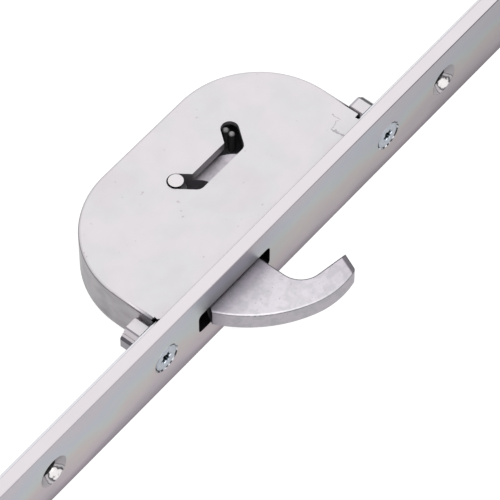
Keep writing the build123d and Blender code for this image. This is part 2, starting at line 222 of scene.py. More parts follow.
@dataclass(frozen=True)
class Metal:
    """A metal finish: tinted clouds, fine specks, and a grain that catches the light.

    Attributes:
        name: the material's name.
        tints: sRGB colours that the clouds pass through, in order.
        cloud_mm: length of one cloud along X, Y and Z.
        cloud_detail: how ragged the clouds are.
        speck_colour: colour of the small dark marks.
        speck_mm: distance between the marks.
        speck_share: how much of the surface the marks take, from 0 to 1.
        roughness: lowest and highest roughness.
        grain_mm: length of one grain along X, Y and Z.
        grain_height_mm: height of the grain.
        painted_facing_light: painted light and shade laid over the colour, by how far a surface faces up, from 0 to 1.
        metallic: one for clean metal, less where a matt film covers it.
    """

    name: str
    tints: tuple[str, ...]
    cloud_mm: tuple[float, float, float]
    cloud_detail: float
    speck_colour: str
    speck_mm: float
    speck_share: float
    roughness: tuple[float, float]
    grain_mm: tuple[float, float, float]
    grain_height_mm: float
    painted_facing_light: tuple[tuple[float, str], ...] = ()
    metallic: float = 1.0

    def colour(self, tree: bpy.types.NodeTree, place: bpy.types.NodeSocket) -> bpy.types.NodeSocket:
        """The colour that the metal has where nothing marks it."""
        clouds = noise(tree, place, self.cloud_mm, self.cloud_detail)
        step = 0.4 / (len(self.tints) - 1)
        return ramp(tree, clouds, [(0.3 + step * number, tint) for number, tint in enumerate(self.tints)])

    def material(self) -> bpy.types.Material:
        """Build the finish as a material, or return it if it is there already."""
        if self.name in bpy.data.materials:
            return bpy.data.materials[self.name]
        made = bpy.data.materials.new(self.name)
        made.use_nodes = True
        tree = made.node_tree
        shader = tree.nodes["Principled BSDF"]
        shader.inputs["Metallic"].default_value = self.metallic
        place = add_node(tree, "ShaderNodeTexCoord").outputs["Object"]

        specks = noise(tree, place, (self.speck_mm,) * 3, 1.0)
        marked = remap(tree, specks, (0.78 - self.speck_share, 0.86 - self.speck_share))
        colour = blend(tree, marked, self.colour(tree, place), linear(self.speck_colour))
        # painted light and shade: the colour is laid over by how far a face turns up
        if self.painted_facing_light:
            normal = add_node(tree, "ShaderNodeNewGeometry").outputs["Normal"]
            facing_up = add_node(tree, "ShaderNodeSeparateXYZ", None, {0: normal}).outputs["Z"]
            colour = blend(tree, 1.0, colour, ramp(tree, facing_up, list(self.painted_facing_light)), "MULTIPLY")
        tree.links.new(colour, shader.inputs["Base Color"])

        wear = noise(tree, place, self.cloud_mm, self.cloud_detail)
        tree.links.new(remap(tree, wear, (0.3, 0.7), self.roughness), shader.inputs["Roughness"])

        grain = noise(tree, place, self.grain_mm, 3.0)
        bump = add_node(
            tree, "ShaderNodeBump", None,
            {"Height": grain, "Strength": 1.0, "Distance": self.grain_height_mm * MM},
        )
        tree.links.new(bump.outputs[0], shader.inputs["Normal"])
        return made


@dataclass(frozen=True)
class RolledStrip(Metal):
    """Zinc plated strip, whose passivation film changes colour across its width.

    Attributes:
        film: colours across the front, from the lower edge to the upper one.
        width_mm: the strip's width.
        wobble: how far the bands wander, as a share of the width.
        edge_shade: colour of the two long edges, a painted shade that tones down the lamp's light on them.
        fixing_sinks: middle and half spacing of the fixing holes, and radius of their countersinks.
        screw_sinks: the same for the case screws.
        slot_mm: middle, half length and half width of the hook's slot, whose walls are painted in shade.
        hole_light_tints: painted light and shade in a fixing hole's countersink, outwards from the painted highlight.
        lit_patch_x: middle and half width of the painted highlight along the strip, from the hole's axis.
        lit_patch_z: the same across the strip.
        bore_mm: how deep the countersink reaches; the bore behind it is painted in shade.
        hole_metallic: how metallic a fixing hole's walls look; less, so that the fill lamp lights them.
    """

    film: tuple[tuple[float, str], ...] = ()
    width_mm: float = 20.0
    wobble: float = 0.3
    edge_shade: str = "#A29EA1"
    fixing_sinks: tuple[float, float, float] = (-8.2, 67.1, 4.05)
    screw_sinks: tuple[float, float, float] = (0.0, 38.5, 3.8)
    slot_mm: tuple[float, float, float] = (-15.61, 12.21, 3.3)
    hole_light_tints: tuple[tuple[float, str], ...] = ()
    lit_patch_x: tuple[float, float] = (1.1, 1.05)
    lit_patch_z: tuple[float, float] = (-2.9, 0.85)
    bore_mm: float = 1.7
    hole_metallic: float = 0.4

    def colour(self, tree: bpy.types.NodeTree, place: bpy.types.NodeSocket) -> bpy.types.NodeSocket:
        """Bands of film, with painted light and shade over the front, the long edges, the holes and the slot."""
        axes = add_node(tree, "ShaderNodeSeparateXYZ", None, {0: place}).outputs
        half = self.width_mm * MM / 2
        across = remap(tree, axes["Z"], (-half, half))
        drift = remap(
            tree, noise(tree, place, self.cloud_mm, self.cloud_detail), (0.2, 0.8), (-self.wobble, self.wobble)
        )
        bands = ramp(tree, maths(tree, "ADD", across, drift), list(self.film))
        # painted shade: the front darkens towards its lower edge and along the strip towards +X
        rim = ramp(tree, across, [(0.0, "#BEBABE"), (0.05, "#E0DCE0"), (0.16, "#FFFFFF")])
        front = blend(tree, 1.0, bands, rim, "MULTIPLY")
        dim = ramp(tree, remap(tree, axes["X"], (-0.02, 0.08)), [(0.0, "#FCFCFC"), (1.0, "#DEDEDE")])
        front = blend(tree, 1.0, front, dim, "MULTIPLY")

        normal = add_node(tree, "ShaderNodeNewGeometry").outputs["Normal"]
        facing_up = add_node(tree, "ShaderNodeSeparateXYZ", None, {0: normal}).outputs["Z"]
        # painted shade: the strip's long edges, which face up and down, are darkened against the lamp's light
        cut = remap(tree, maths(tree, "ABSOLUTE", facing_up), (0.55, 0.9))
        metal = blend(tree, cut, front, linear(self.edge_shade))
        # painted dark reflection: a line along the rounded long edges, stronger towards +X
        dark_edge_share = remap(tree, axes["X"], (-0.02, 0.06), (0.35, 1.0))
        line = ramp(tree, facing_up, [(0.1, "#FFFFFF"), (0.3, "#6A666B"), (0.75, "#77737A"), (0.95, "#FFFFFF")])
        metal = blend(tree, dark_edge_share, metal, blend(tree, 1.0, metal, line, "MULTIPLY"))

        below = maths(tree, "GREATER_THAN", axes["Y"], 0.03 * MM)
        patches = noise(tree, place, (1.2, 1.2, 1.2), 1.0)
        in_hole = maths(tree, "MULTIPLY", self.near(tree, axes, self.fixing_sinks), below)
        shader = tree.nodes["Principled BSDF"]
        tree.links.new(remap(tree, in_hole, (0.0, 1.0), (1.0, self.hole_metallic)), shader.inputs["Metallic"])
        # painted highlight and shade in the fixing holes
        metal = blend(tree, in_hole, metal, self.painted_hole_light(tree, axes, patches))
        slot_middle, slot_half_length, slot_half_width = (value * MM for value in self.slot_mm)
        aside = maths(tree, "ABSOLUTE", maths(tree, "SUBTRACT", axes["X"], slot_middle))
        in_slot = maths(
            tree, "MULTIPLY", maths(tree, "LESS_THAN", aside, slot_half_length),
            maths(tree, "LESS_THAN", maths(tree, "ABSOLUTE", axes["Z"]), slot_half_width),
        )
        # painted shade on the walls of the hook's slot
        metal = blend(tree, maths(tree, "MULTIPLY", in_slot, below), metal, linear("#38363A"))
        # painted shade, in patches, in the countersinks round the case screws
        in_gap = maths(tree, "MULTIPLY", self.near(tree, axes, self.screw_sinks), below)
        gap = ramp(tree, patches, [(0.45, "#3B3C40"), (0.56, "#B9BBC0")])
        return blend(tree, in_gap, metal, gap)

    def painted_hole_light(
        self, tree: bpy.types.NodeTree, axes: bpy.types.NodeOutputs, patches: bpy.types.NodeSocket
    ) -> bpy.types.NodeSocket:
        """Painted highlight on a fixing hole's lower side, painted shade round it and in the bore behind it.

        Args:
            tree: the material's node tree.
            axes: the surface's place along X, Y and Z.
            patches: a noise that makes the outlines ragged.

        Returns:
            The socket with the colour.
        """
        middle, half_spacing = (value * MM for value in self.fixing_sinks[:2])
        along = maths(tree, "SUBTRACT", axes["X"], middle)
        hole = maths(tree, "MULTIPLY", maths(tree, "SIGN", along), half_spacing)
        steps = []
        for place, centre, radius in ((maths(tree, "SUBTRACT", along, hole), *self.lit_patch_x), (axes["Z"], *self.lit_patch_z)):
            share = maths(tree, "DIVIDE", maths(tree, "SUBTRACT", place, centre * MM), radius * MM)
            steps.append(maths(tree, "MULTIPLY", share, share))
        away = maths(tree, "ADD", maths(tree, "ADD", *steps), remap(tree, patches, (0.3, 0.7), (-0.9, 0.9)))
        # painted highlight in the middle, rings of painted shade round it, and painted shade in the bore
        rings = ramp(tree, remap(tree, away, (0.0, 7.0)), list(self.hole_light_tints))
        bore = maths(tree, "GREATER_THAN", axes["Y"], self.bore_mm * MM)
        return blend(tree, bore, rings, linear("#1E1C1E"))

    def near(
        self, tree: bpy.types.NodeTree, axes: bpy.types.NodeOutputs, sinks: tuple[float, float, float]
    ) -> bpy.types.NodeSocket:
        """One within a pair of countersinks, zero elsewhere.

        Args:
            tree: the material's node tree.
            axes: the surface's place along X, Y and Z.
            sinks: middle and half spacing of the pair, and radius of each, in millimetres.

        Returns:
            The socket with one or zero.
        """
        middle, half_spacing, radius = (value * MM for value in sinks)
        sideways = maths(tree, "ABSOLUTE", maths(tree, "SUBTRACT", axes["X"], middle))
        sideways = maths(tree, "SUBTRACT", sideways, half_spacing)
        away = maths(
            tree, "ADD", maths(tree, "MULTIPLY", sideways, sideways), maths(tree, "MULTIPLY", axes["Z"], axes["Z"])
        )
        return maths(tree, "LESS_THAN", away, radius ** 2)


@dataclass(frozen=True)
class ScrewMetal(Metal):
    """A screw's finish, with painted shade down in its recess.

    Attributes:
        recess_shade_tints: painted shade laid over the colour, by depth.
        deep_mm: the depth at which the last shade is reached.
    """

    recess_shade_tints: tuple[tuple[float, str], ...] = (
        (0.0, "#FFFFFF"), (0.14, "#F4F4F4"), (0.26, "#565E60"), (1.0, "#343C3D")
    )
    deep_mm: float = 1.6

    def colour(self, tree: bpy.types.NodeTree, place: bpy.types.NodeSocket) -> bpy.types.NodeSocket:
        """The head's clouds, darkened by painted shade with depth."""
        depth = add_node(tree, "ShaderNodeSeparateXYZ", None, {0: place}).outputs["Y"]
        # painted shade, deeper down the recess
        shade = ramp(tree, remap(tree, depth, (0.0, self.deep_mm * MM)), list(self.recess_shade_tints))
        return blend(tree, 1.0, super().colour(tree, place), shade, "MULTIPLY")


@dataclass(frozen=True)
class CastZinc(Metal):
    """Die-cast zinc with mottled stains, painted shade down its sides, and cracks where the melt met last.

    Attributes:
        stain_and_shade: colour of the stains and the cracks, and of the painted shade down the sides.
        stain_mm: size of a stain.
        painted_shade_mm: painted shade and reflections, each with its limits along the axes and its colour: shade in
            the notches in the front corners, and dark reflected bands where the screw bosses' facets meet.
        cracks_mm: hairline cracks in the skin, each with the axis that it crosses and its place there, the axis
            that it follows with its start and end, and half its width.
        jag_mm: length of the cracks' bends.
        jag_reach_mm: how far the cracks wander.
    """

    stain_and_shade: str = "#7C787D"
    stain_mm: tuple[float, float, float] = (4.5, 4.5, 3.0)
    painted_shade_mm: tuple[tuple[tuple[str, float, float] | str, ...], ...] = (
        (("X", -35.98, -33.9), ("Y", 3.0, 6.32), ("Z", 3.8, 5.98), "#1A191A"),
        (("X", 33.9, 35.98), ("Y", 3.0, 6.32), ("Z", 3.8, 5.98), "#1A191A"),
        (("X", -40.3, -39.8), ("Y", 6.3, 10.1), ("Z", 3.9, 4.34), "#77747A"),
        (("X", -42.1, -41.5), ("Y", 6.3, 10.1), ("Z", 1.9, 2.75), "#4C4A4F"),
        (("X", -42.1, -42.0), ("Y", 6.3, 10.1), ("Z", -0.7, 1.9), "#969398"),
        (("X", 39.9, 41.6), ("Y", 6.3, 10.1), ("Z", 2.7, 4.34), "#4C4A4F"),
        (("X", 37.0, 40.0), ("Y", 9.5, 10.1), ("Z", 4.0, 4.4), "#858287"),
    )
    cracks_mm: tuple[tuple[str, float, str, float, float, float], ...] = (
        ("X", 28.4, "Y", 3.2, 8.4, 0.2), ("Y", 8.4, "X", 28.6, 31.2, 0.12), ("X", 31.6, "Y", 8.3, 10.8, 0.1),
    )
    jag_mm: tuple[float, float, float] = (1.5, 1.5, 1.5)
    jag_reach_mm: float = 0.45

    def colour(self, tree: bpy.types.NodeTree, place: bpy.types.NodeSocket) -> bpy.types.NodeSocket:
        """The casting's clouds with stains, painted shade and cracks over them."""
        normal = add_node(tree, "ShaderNodeNewGeometry").outputs["Normal"]
        facing_up = add_node(tree, "ShaderNodeSeparateXYZ", None, {0: normal}).outputs["Z"]
        height = add_node(tree, "ShaderNodeSeparateXYZ", None, {0: place}).outputs["Z"]
        # painted shade: faces that turn to the side darken in mottled patches, more towards the bottom
        sides = remap(tree, facing_up, (0.6, 0.2))
        mottle = remap(tree, noise(tree, place, self.stain_mm, 5.0), (0.4, 0.72), (0.0, 0.5))
        low = remap(tree, height, (1.0 * MM, -5.0 * MM), (0.0, 0.28))
        stain_and_shade_share = maths(tree, "MULTIPLY", sides, maths(tree, "ADD", mottle, low))
        faint = maths(tree, "MULTIPLY", mottle, 0.14)
        metal = blend(tree, maths(tree, "MAXIMUM", stain_and_shade_share, faint), super().colour(tree, place), linear(self.stain_and_shade))
        axes = add_node(tree, "ShaderNodeSeparateXYZ", None, {0: place}).outputs
        # painted shade in the corner notches and painted reflections on the screw bosses
        for *limits, tint in self.painted_shade_mm:
            metal = blend(tree, self.within(tree, axes, limits), metal, linear(tint))
        jag = remap(tree, noise(tree, place, self.jag_mm, 3.0), (0.3, 0.7), (-self.jag_reach_mm * MM, self.jag_reach_mm * MM))
        for across, level, along, start, end, half in self.cracks_mm:
            off = maths(tree, "ABSOLUTE", maths(tree, "ADD", maths(tree, "SUBTRACT", axes[across], level * MM), jag))
            line = remap(tree, off, (half * MM, half * MM / 2), (0.0, 0.8))
            line = maths(tree, "MULTIPLY", line, self.within(tree, axes, [(along, start, end), ("Z", 5.9, 6.1)]))
            metal = blend(tree, line, metal, linear(self.stain_and_shade))
        return metal

    def within(
        self, tree: bpy.types.NodeTree, axes: bpy.types.NodeOutputs, limits: list[tuple[str, float, float]]
    ) -> bpy.types.NodeSocket:
        """One within the limits along the named axes, zero elsewhere.

        Args:
            tree: the material's node tree.
            axes: the surface's place along X, Y and Z.
            limits: axis, start and end of each limit, in millimetres.

        Returns:
            The socket with one or zero.
        """
        inside = maths(tree, "ADD", 1.0, 0.0)
        for axis, start, end in limits:
            for sense, limit in (("GREATER_THAN", start), ("LESS_THAN", end)):
                inside = maths(tree, "MULTIPLY", inside, maths(tree, sense, axes[axis], limit * MM))
        return inside


@dataclass(frozen=True)
class CastHook(Metal):
    """Blasted cast steel, with a painted shadow near the strip and painted shade along its rear rim.

    Attributes:
        root_shadow: painted shadow laid over the colour, from the nose of the hook to the strip.
        root_shadow_mm: place of the first and the last of these shades, along Y.
        nose: shade at the far end of the hook.
        nose_mm: where that shade starts and where it is full, along X.
        rim: colour of the painted shade on the faces turned to the hook's rear.
        rim_from: how far a face is turned to the rear where the rim starts and where it is full.
        rear: direction of the hook's rear.
        end_facing: direction that the hook's end faces.
        end_mm: where along it the painted dark edge at the end starts and where it is full.
        end_back_mm: how far back that edge may reach, along Y.
        raised_from: how far up a face looks where the dark edges start and where they are full.
    """

    root_shadow: tuple[tuple[float, str], ...] = (
        (0.0, "#FFFFFF"), (0.35, "#FAF9FA"), (0.65, "#DFDCE1"), (0.82, "#B9B6BC"), (0.9, "#A3A0A6"), (1.0, "#FFFFFF")
    )
    root_shadow_mm: tuple[float, float] = (-7.5, 1.0)
    nose: str = "#EDEBEE"
    nose_mm: tuple[float, float] = (-10.0, 4.0)
    rim: str = "#5C595E"
    rim_from: tuple[float, float] = (0.05, 0.3)
    rear: tuple[float, float] = (0.8, 0.6)
    end_facing: tuple[float, float] = (0.926, -0.376)
    end_mm: tuple[float, float] = (9.05, 9.4)
    end_back_mm: float = -10.0
    raised_from: tuple[float, float] = (0.2, 0.45)

    def colour(self, tree: bpy.types.NodeTree, place: bpy.types.NodeSocket) -> bpy.types.NodeSocket:
        """The casting's clouds with the painted shadow at the root, the nose, and painted shade on rim and end."""
        axes = add_node(tree, "ShaderNodeSeparateXYZ", None, {0: place}).outputs
        # painted shadow: the hook's top darkens just before the strip
        root = remap(tree, axes["Y"], tuple(value * MM for value in self.root_shadow_mm))
        metal = blend(tree, 1.0, super().colour(tree, place), ramp(tree, root, list(self.root_shadow)), "MULTIPLY")
        nose = ramp(
            tree, remap(tree, axes["X"], tuple(value * MM for value in self.nose_mm)), [(0.0, "#FFFFFF"), (1.0, self.nose)]
        )
        metal = blend(tree, 1.0, metal, nose, "MULTIPLY")
        # painted shade: a dark rim on the faces turned to the rear, and a dark edge along the hook's end
        normal = add_node(tree, "ShaderNodeTexCoord").outputs["Normal"]
        edges = []
        for measured, along, span, back in (
            (normal, self.rear, self.rim_from, 0.0),
            (place, self.end_facing, [value * MM for value in self.end_mm], self.end_back_mm),
        ):
            reach = add_node(tree, "ShaderNodeVectorMath", {"operation": "DOT_PRODUCT"}, {0: measured, 1: (*along, 0.0)})
            ahead = maths(tree, "LESS_THAN", axes["Y"], back * MM)
            edges.append(maths(tree, "MULTIPLY", remap(tree, reach.outputs["Value"], span), ahead))
        raised = remap(tree, add_node(tree, "ShaderNodeSeparateXYZ", None, {0: normal}).outputs["Z"], self.raised_from)
        edge = maths(tree, "MULTIPLY", maths(tree, "MAXIMUM", *edges), raised)
        return blend(tree, edge, metal, linear(self.rim))


# Cold rolled strip, zinc plated and blue passivated. The film is thicker at one edge, which gives the eye
# soft bands of violet, blue, green and pink along the strip; the long edges carry painted shade.
PASSIVATED_STRIP = RolledStrip(
    "zinc_plated_strip", ("#A6A4AA", "#A9A6AA"), (24, 30, 11), 2.5,
    "#9C989C", 1.1, 0.0, (0.38, 0.44), (6.0, 0.25, 0.25), 0.003,
    film=(
        (0.05, "#9A9399"), (0.2, "#A79EA4"), (0.42, "#B0A8A7"), (0.6, "#ACB0B0"), (0.8, "#ABADB6"),
        (0.96, "#B1ADB3"),
    ),
    hole_light_tints=(
        (0.0, "#E4E0E0"), (0.17, "#DEDADA"), (0.24, "#3A373B"), (0.36, "#6A676B"), (0.5, "#BCB8BA"),
        (0.72, "#B2AEB2"), (0.8, "#5F5C60"), (0.88, "#908C90"), (1.0, "#A9A5A9"),
    ),
)
# The same plated steel on the rail and the cover, which are blanked from thinner sheet.
PLATED_SHEET = Metal(
    "zinc_plated_sheet", ("#9F9DA2", "#A3A4A8", "#A6A3A6"), (24, 9, 9), 1.5,
    "#86848A", 1.1, 0.02, (0.36, 0.44), (6.0, 0.25, 0.25), 0.004,
)
# Die-cast zinc alloy, tumbled and left bare: an even pale grey with a fine skin and a few dark pinholes.
# A painted dark reflection on the rounded edges draws a thin line round the case.
DIE_CAST_ZINC = CastZinc(
    "tumbled_zinc_casting", ("#A3A0A3", "#A5A1A4", "#A3A2A4", "#A5A1A4"), (14, 14, 14), 5.0,
    "#8D898D", 1.3, 0.03, (0.46, 0.54), (0.35, 0.35, 0.35), 0.006,
    ((0.0, "#FFFFFF"), (0.28, "#F4F2F4"), (0.48, "#8E8B8E"), (0.66, "#F4F2F4"), (0.95, "#FFFFFF")),
)
# Investment cast steel, shot blasted before it is plated: a coarser skin that sparkles a little, with a
# painted highlight along the upper edge and painted shade just under it.
CAST_STEEL = CastHook(
    "blasted_steel_casting", ("#ACAAAE", "#B5B2B6", "#ABAAAD", "#B7B4B8"), (3, 3, 3), 5.0,
    "#949297", 0.45, 0.08, (0.46, 0.56), (0.5, 0.5, 0.5), 0.035,
    ((0.0, "#F8F6F8"), (0.2, "#EEECEE"), (0.36, "#827F84"), (0.56, "#FFFFFF"), (0.88, "#FFFFFF"), (1.0, "#EFEDEF")),
)
# Turned free cutting steel: even and pale, with the fine marks of the tool, and painted shade on its sides.
TURNED_STEEL = Metal(
    "turned_steel", ("#A5A2A4", "#A9A6A8"), (2, 2, 2), 1.0,
    "#959295", 0.8, 0.0, (0.46, 0.52), (0.2, 0.2, 0.2), 0.004,
    ((0.0, "#6F6D70"), (0.5, "#7A787B"), (0.9, "#FFFFFF")),
)
# Pin ends left as they were cropped and blasted, which scatters the light that reaches them in the case.
# Their near-white colour is painted light, and their sides are painted in shade.
BLASTED_STEEL = Metal(
    "blasted_steel", ("#F2F0F2", "#F8F6F8"), (2, 2, 2), 1.0,
    "#E2DFE2", 0.8, 0.0, (0.6, 0.7), (0.2, 0.2, 0.2), 0.004,
    ((0.0, "#3A393B"), (0.6, "#5A585A"), (0.95, "#FFFFFF")), 0.0,
)
# Cold headed screw, zinc plated with a blue passivation that reads colder than the strip. Painted shade
# darkens the recess.
BLUE_PASSIVATED_SCREW = ScrewMetal(
    "blue_passivated_screw", ("#8F959F", "#A9AEB6", "#9BA1AA", "#B4B8BE"), (1.1, 1.1, 1.1), 3.0,
    "#757C86", 0.6, 0.06, (0.26, 0.36), (0.3, 0.3, 0.3), 0.006,
)
# Blanked steel under oil, hidden in the case: darker with painted shade, so that the track reads as a deep slot.
OILED_AND_SHADED_STEEL = Metal(
    "oiled_and_shaded_steel", ("#3C3D40", "#444548"), (4, 4, 4), 2.0,
    "#2A2B2D", 0.9, 0.05, (0.30, 0.42), (0.4, 0.4, 0.4), 0.005,
)
# Sintered bronze of the hook's bush.
SINTERED_BRONZE = Metal(
    "sintered_bronze", ("#9A7B52", "#A98A5E"), (2, 2, 2), 2.0,
    "#6E5638", 0.5, 0.05, (0.38, 0.48), (0.3, 0.3, 0.3), 0.004,
)


def stack(rings: list[list[Vector]]) -> tuple[list[Vector], list[tuple[int, ...]]]:
    """Join rings of equally many points into a closed skin, capped at both ends.

    Args:
        rings: the rings, in order.

    Returns:
        The points and the faces.
    """
    count = len(rings[0])
    points = [point for ring in rings for point in ring]
    faces: list[tuple[int, ...]] = []
    for row in range(len(rings) - 1):
        for step in range(count):
            near, far = row * count + step, row * count + (step + 1) % count
            faces.append((near, far, far + count, near + count))
    last = (len(rings) - 1) * count
    faces.append(tuple(reversed(range(count))))
    faces.append(tuple(range(last, last + count)))
    return points, faces


def mesh_object(
    name: str, points: list[Vector], faces: list[tuple[int, ...]], finish: Metal
) -> bpy.types.Object:
    """Make a smoothly shaded object whose sharp edges stay sharp.

    Args:
        name: the object's name.
        points: its corners, in metres in the frame.
        faces: its faces, as indexes of corners.
        finish: the metal that it is made of.

    Returns:
        The object, linked to the scene.
    """
    mesh = bpy.data.meshes.new(name)
    mesh.from_pydata(points, [], faces)
    shape = bmesh.new()
    shape.from_mesh(mesh)
    bmesh.ops.recalc_face_normals(shape, faces=shape.faces)
    shape.to_mesh(mesh)
    shape.free()
    mesh.shade_smooth()
    mesh.set_sharp_from_angle(angle=math.radians(30))
    mesh.materials.append(finish.material())
    made = bpy.data.objects.new(name, mesh)
    bpy.context.scene.collection.objects.link(made)
    return made


def prism(outline: list[tuple[float, float]], low: float, high: float, across: str) -> tuple[list[Vector], list]:
    """A straight prism, as points and faces.

    Args:
        outline: corners of its section, in millimetres along the two other axes.
        low: where it starts along its own axis.
        high: where it ends.
        across: its own axis, "Y" or "Z".

    Returns:
        The points in metres and the faces.
    """
    rings = []
    for level in (low, high):
        place = [(a, level, b) if across == "Y" else (a, b, level) for a, b in outline]
        rings.append([Vector(point) * MM for point in place])
    return stack(rings)


def rounded_slot(ends: tuple[float, float], half: float, radius: float, steps: int = 5) -> list[tuple[float, float]]:
    """The outline of a slot with rounded corners.

    Args:
        ends: where the slot starts and ends along its length.
        half: half its width.
        radius: radius of its corners.
        steps: straight pieces in each corner.

    Returns:
        The outline's points, counter-clockwise.
    """
    outline = []
    senses = ((1, 1), (-1, 1), (-1, -1), (1, -1))
    for quarter, (along, aside) in enumerate(senses):
        centre = (ends[along > 0] - along * radius, aside * (half - radius))
        for step in range(steps + 1):
            angle = math.radians(90) * (quarter + step / steps)
            outline.append((centre[0] + radius * math.cos(angle), centre[1] + radius * math.sin(angle)))
    return outline


def cut_node(node: str, cutters: list[tuple[list[Vector], list]], finish: Metal) -> None:
    """Show a CAD node with openings cut in it that the solid leaves out.

    Args:
        node: the CAD node that is replaced.
        cutters: points and faces of each closed cutter.
        finish: the metal that it is made of.
    """
    shown = bpy.data.objects.new(f"{node}_detail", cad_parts[node].data.copy())
    bpy.context.scene.collection.objects.link(shown)
    weld = shown.modifiers.new("weld", "WELD")
    weld.merge_threshold = 0.002 * MM
    tools = [mesh_object(f"{node}_cutter_{number}", *cutter, finish) for number, cutter in enumerate(cutters)]
    for tool in tools:
        cut = shown.modifiers.new(tool.name, "BOOLEAN")
        cut.operation, cut.solver, cut.object = "DIFFERENCE", "EXACT", tool
    evened = shown.modifiers.new("even", "WEIGHTED_NORMAL")
    evened.keep_sharp = True
    shown.data.materials.clear()
    shown.data.materials.append(finish.material())
    graph = bpy.context.evaluated_depsgraph_get()
    made = bpy.data.meshes.new_from_object(shown.evaluated_get(graph), depsgraph=graph)
    shown.modifiers.clear()
    shown.data = made
    for tool in tools:
        bpy.data.objects.remove(tool)
    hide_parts(node)
    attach(shown, Body.CASING.value)
    LOG.info("cut %s", shown.name)


def dress(node: str, finish: Metal) -> None:
    """Give a CAD node its finish.

    Args:
        node: the node's name.
        finish: the metal that it is made of.
    """
    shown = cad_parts[node]
    shown.data.materials.clear()
    shown.data.materials.append(finish.material())
    LOG.info("dressed %s in %s", node, finish.name)


@dataclass
class Strip:
    """The faceplate, the drive rail behind it and the rivets of the rail.

    Attributes:
        slot_x_mm: ends of the hook's slot along the strip.
        slot_half_mm: half the slot's width.
        slot_corner_mm: radius of the slot's corners.
        through_mm: where the punch starts and ends.
    """

    slot_x_mm: tuple[float, float] = (-27.72, -3.51)
    slot_half_mm: float = 3.095
    slot_corner_mm: float = 1.1
    through_mm: tuple[float, float] = (-1.0, 4.5)

    def build(self) -> None:
        """Square the hook's slot, then dress the strip's pieces."""
        outline = rounded_slot(self.slot_x_mm, self.slot_half_mm, self.slot_corner_mm)
        cut_node("faceplate", [prism(outline, *self.through_mm, "Y")], PASSIVATED_STRIP)
        dress("drive_rail", PLATED_SHEET)
        for node in ("rail_rivet_1", "rail_rivet_2"):
            dress(node, OILED_AND_SHADED_STEEL)


@dataclass
class CaseScrew:
    """A countersunk screw with a six-lobe recess, whose head sits in its sink with a thin gap round it.

    Attributes:
        node: the CAD node that it stands for.
        centre_x_mm: place of its axis along the strip.
        segments: facets round the axis.
        head_radius_mm: radius of the head's face.
        shank_radius_mm: radius of the shank.
        face_mm: how deep the face lies in the strip.
        length_mm: depth of the shank's end.
        recess_mm: depth of the recess.
        lobes: number of the recess's lobes.
        lobe_mean_mm: mean radius of the recess's outline.
        lobe_swing_mm: how far the outline swings to either side of it.
    """

    node: str
    centre_x_mm: float
    segments: int = 96
    head_radius_mm: float = 3.3
    shank_radius_mm: float = 2.0
    face_mm: float = 0.1
    length_mm: float = 8.0
    recess_mm: float = 1.5
    lobes: int = 6
    lobe_mean_mm: float = 1.46
    lobe_swing_mm: float = 0.26

    def ring(self, share_of_outline: float, radius_mm: float, depth_mm: float) -> list[Vector]:
        """One ring of points round the axis.

        Args:
            share_of_outline: the part of the recess's outline that is added to the radius.
            radius_mm: the plain part of the radius.
            depth_mm: how far behind the strip's front it lies.

        Returns:
            The ring's points in metres.
        """
        points = []
        for step in range(self.segments):
            angle = math.tau * step / self.segments
            outline = self.lobe_mean_mm + self.lobe_swing_mm * math.cos(self.lobes * angle)
            radius = share_of_outline * outline + radius_mm
            points.append(Vector((
                self.centre_x_mm + radius * math.cos(angle), depth_mm, radius * math.sin(angle),
            )) * MM)
        return points

    def build(self) -> None:
        """Make the screw in place of its CAD node."""
        rim, lip = 0.16, 0.06
        cone_end = self.face_mm + self.head_radius_mm + rim / 2 - self.shank_radius_mm
        rings = [
            self.ring(0.3, 0.0, self.recess_mm),
            self.ring(0.8, 0.0, self.recess_mm - 2 * lip),
            self.ring(0.94, 0.0, self.face_mm + 3 * lip),
            self.ring(1.0, 0.0, self.face_mm + lip),
            self.ring(1.0, lip, self.face_mm),
            self.ring(0.0, self.head_radius_mm - 3 * rim, self.face_mm),
            self.ring(0.0, self.head_radius_mm - 2.4 * rim, self.face_mm + lip),
            self.ring(0.0, self.head_radius_mm - 1.8 * rim, self.face_mm),
            self.ring(0.0, self.head_radius_mm - rim, self.face_mm),
            self.ring(0.0, self.head_radius_mm - rim / 3, self.face_mm + rim / 3),
            self.ring(0.0, self.head_radius_mm, self.face_mm + rim),
            self.ring(0.0, self.shank_radius_mm, cone_end + rim),
            self.ring(0.0, self.shank_radius_mm, self.length_mm - rim),
            self.ring(0.0, self.shank_radius_mm - rim, self.length_mm),
        ]
        screw = mesh_object(f"{self.node}_detail", *stack(rings), BLUE_PASSIVATED_SCREW)
        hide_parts(self.node)
        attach(screw, Body.CASING.value)
        LOG.info("built %s", screw.name)


@dataclass
class Case:
    """The die-cast case with its cover, rivets and the two screws that hold it to the strip.

    Attributes:
        rivet_count: number of the cover's rivets.
        screw_x_mm: how far the screws stand from the middle.
        notches_mm: plan of the notch in each front corner.
        notch_z_mm: where the notches start and end in height.
    """

    rivet_count: int = 4
    screw_x_mm: float = 38.5
    notches_mm: tuple[tuple[tuple[float, float], ...], ...] = (
        ((-37.2, 5.3), (-35.33, 4.4), (-34.96, 6.26)), ((36.6, 6.3), (34.1, 6.2), (34.3, 4.9), (36.6, 4.6)),
    )
    notch_z_mm: tuple[float, float] = (3.9, 6.5)

    def build(self) -> None:
        """Dress the case's pieces."""
        notches = [prism(list(outline), *self.notch_z_mm, "Z") for outline in self.notches_mm]
        cut_node("case_body", notches, DIE_CAST_ZINC)
        dress("case_cover", PLATED_SHEET)
        for number in range(1, self.rivet_count + 1):
            dress(f"cover_rivet_{number}", TURNED_STEEL)
        CaseScrew("case_screw_low", -self.screw_x_mm).build()
        CaseScrew("case_screw_high", self.screw_x_mm).build()


